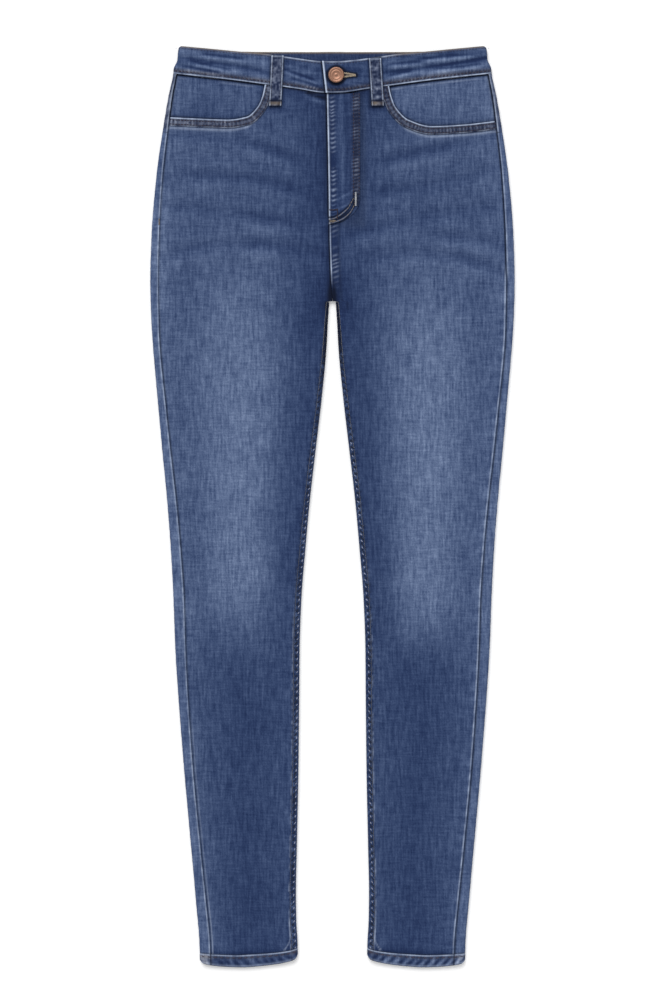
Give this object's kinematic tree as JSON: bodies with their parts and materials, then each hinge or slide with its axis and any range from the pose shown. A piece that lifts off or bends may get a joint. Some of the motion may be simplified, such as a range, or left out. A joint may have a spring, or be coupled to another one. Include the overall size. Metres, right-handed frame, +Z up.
{
  "type": "skinny jeans laid flat",
  "caption": "High-waisted five-pocket skinny jeans in faded blue stretch denim, laid flat front side up on a surface.",
  "frame": {"origin": "on the surface that the jeans lie on, at the middle of their length and width", "axes": "+Y runs up the garment to the waist, +X to the wearer's left, +Z up from the surface, out of the front"},
  "size_m": [0.3922, 0.9907, 0.0122],
  "materials": {
    "denim": "faded mid-blue stretch denim, right-hand twill",
    "denim_loop": "the same denim folded into a strip, worn pale along its edges",
    "denim_edge": "bound denim edge, grey-blue with tan stitching",
    "copper": "satin copper-coloured metal",
    "zip_tape": "woven cotton tape"
  },
  "bodies": {
    "root": {"back_left": "denim", "back_pocket_left": "denim", "back_pocket_right": "denim", "back_right": "denim", "back_yoke_left": "denim", "back_yoke_right": "denim", "belt_loop_back_centre": "denim_loop", "belt_loop_back_left": "denim_loop", "belt_loop_back_right": "denim_loop", "belt_loop_front_left": "denim_loop", "belt_loop_front_right": "denim_loop", "button": "copper", "fly": "denim", "front_left": "denim", "front_right": "denim", "hem_left": "denim", "hem_right": "denim", "pocket_edge_left": "denim_edge", "pocket_edge_right": "denim_edge", "pocket_facing_left": "denim", "pocket_facing_right": "denim", "waistband_back": "denim", "waistband_front_left": "denim", "waistband_front_right": "denim", "zip": "zip_tape"}
  },
  "joints": []
}
